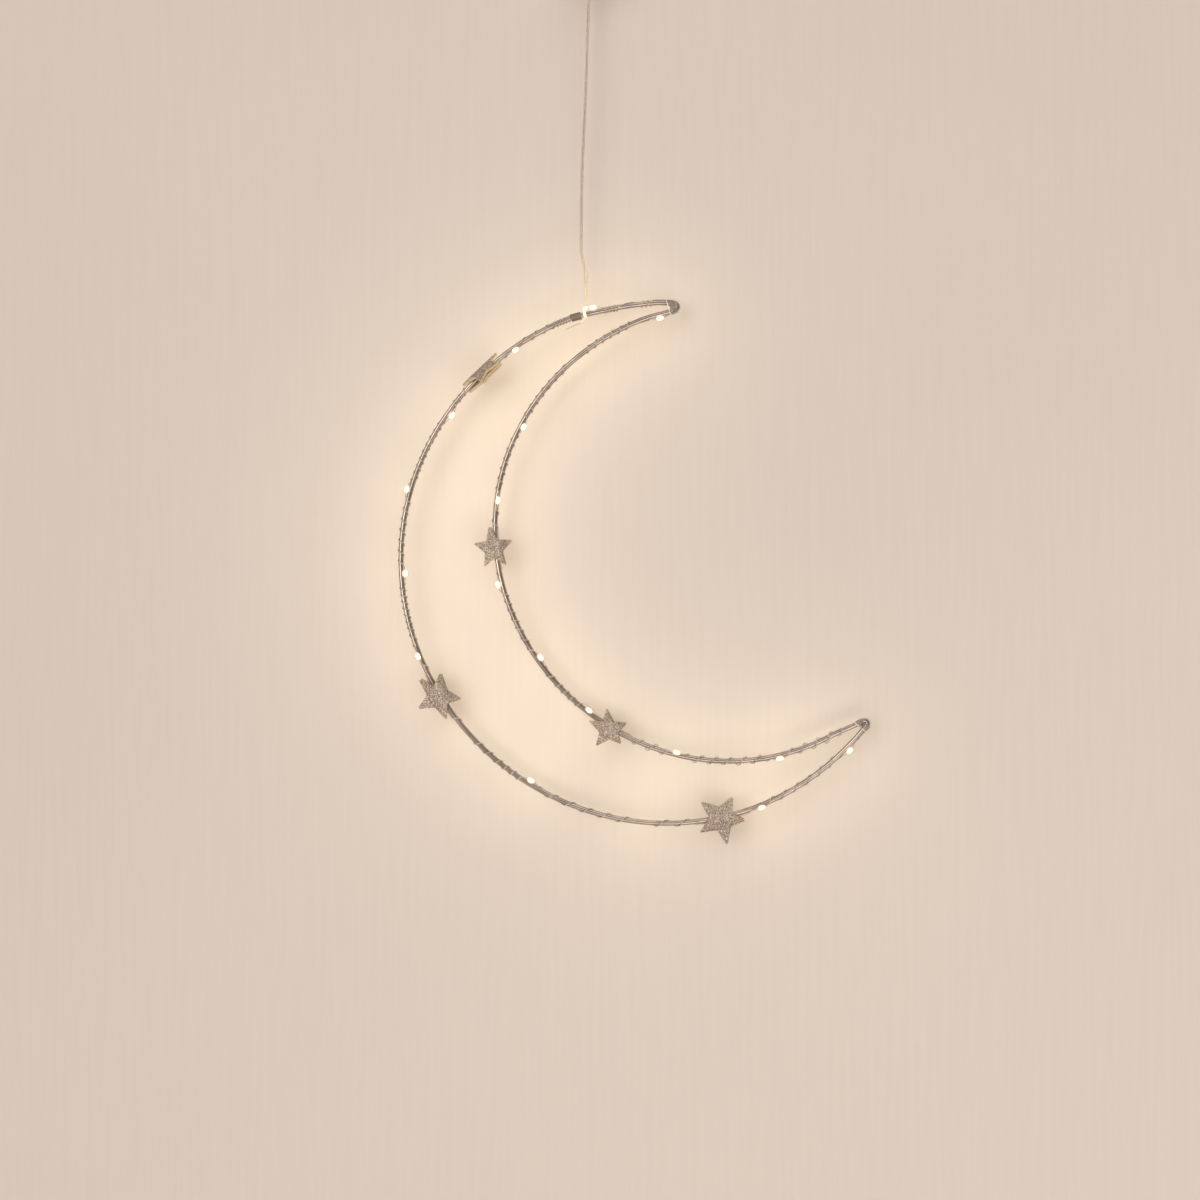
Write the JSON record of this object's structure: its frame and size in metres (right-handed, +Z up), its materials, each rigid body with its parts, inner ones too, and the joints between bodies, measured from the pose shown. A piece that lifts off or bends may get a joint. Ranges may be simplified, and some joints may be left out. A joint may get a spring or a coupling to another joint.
{
  "type": "wall light",
  "caption": "Crescent moon wall light of bent metal rod wound with an LED string and hung with glitter stars, on a lead from a battery box with a hanging eye.",
  "frame": {"origin": "on the hanging eye's axis, in the plane of the wall (the back of the battery box)", "axes": "+Z up, +Y into the wall, the front faces -Y, and the crescent's tips point to +X"},
  "size_m": [0.2725, 0.0253, 0.5824],
  "materials": {
    "rod": "satin",
    "string_wire": "bright",
    "led_resin": "clear drop",
    "glitter_foam": "glitter",
    "clear_plastic": "clear",
    "lead_skin": "clear",
    "box_plastic": "matt",
    "knob_plastic": "matt",
    "contact_steel": "plated",
    "cell_can": "satin",
    "board": "lacquered"
  },
  "bodies": {
    "battery_box": {"battery_housing": "box_plastic", "switch_plate": "box_plastic", "lead_bushing": "clear_plastic", "switch_body": "contact_steel", "circuit_board": "board", "battery_cell_1": "cell_can", "battery_cell_2": "cell_can", "link_contact": "contact_steel", "negative_contact": "contact_steel", "positive_contact": "contact_steel", "negative_spring": "contact_steel", "link_spring": "contact_steel"},
    "cover": {"battery_cover": "box_plastic"},
    "switch": {"switch_knob": "knob_plastic"},
    "lead": {"lead_wire": "lead_skin"},
    "crescent": {"outer_rod": "rod", "inner_rod": "rod", "light_string_wire": "string_wire", "led_bead_01": "led_resin", "led_bead_02": "led_resin", "led_bead_03": "led_resin", "led_bead_04": "led_resin", "led_bead_05": "led_resin", "led_bead_06": "led_resin", "led_bead_07": "led_resin", "led_bead_08": "led_resin", "led_bead_09": "led_resin", "led_bead_10": "led_resin", "led_bead_11": "led_resin", "led_bead_12": "led_resin", "led_bead_13": "led_resin", "led_bead_14": "led_resin", "led_bead_15": "led_resin", "led_bead_16": "led_resin", "led_bead_17": "led_resin", "led_bead_18": "led_resin", "led_bead_19": "led_resin", "led_bead_20": "led_resin", "star_1_front": "glitter_foam", "star_1_back": "glitter_foam", "star_2_front": "glitter_foam", "star_2_back": "glitter_foam", "star_3_front": "glitter_foam", "star_3_back": "glitter_foam", "star_4_front": "glitter_foam", "star_4_back": "glitter_foam", "star_5_front": "glitter_foam", "star_5_back": "glitter_foam", "splice_sleeve": "clear_plastic", "lead_tie": "clear_plastic"}
  },
  "joints": [
    {"name": "cover_slide", "type": "slide", "parent": "battery_box", "child": "cover", "axis": [0, 0, 1], "range_m": [0, 0.055]},
    {"name": "switch_slide", "type": "slide", "parent": "battery_box", "child": "switch", "axis": [1, 0, 0], "range_m": [-0.003, 0]},
    {"name": "lead_swing", "type": "hinge", "parent": "battery_box", "child": "lead", "pos_m": [0.0001, -0.0131, -0.0837], "axis": [0, 1, 0], "range_deg": [-15, 15]},
    {"name": "crescent_rock", "type": "hinge", "parent": "lead", "child": "crescent", "pos_m": [-0.0011, -0.0131, -0.26715], "axis": [0, 1, 0], "range_deg": [-20, 20]}
  ]
}
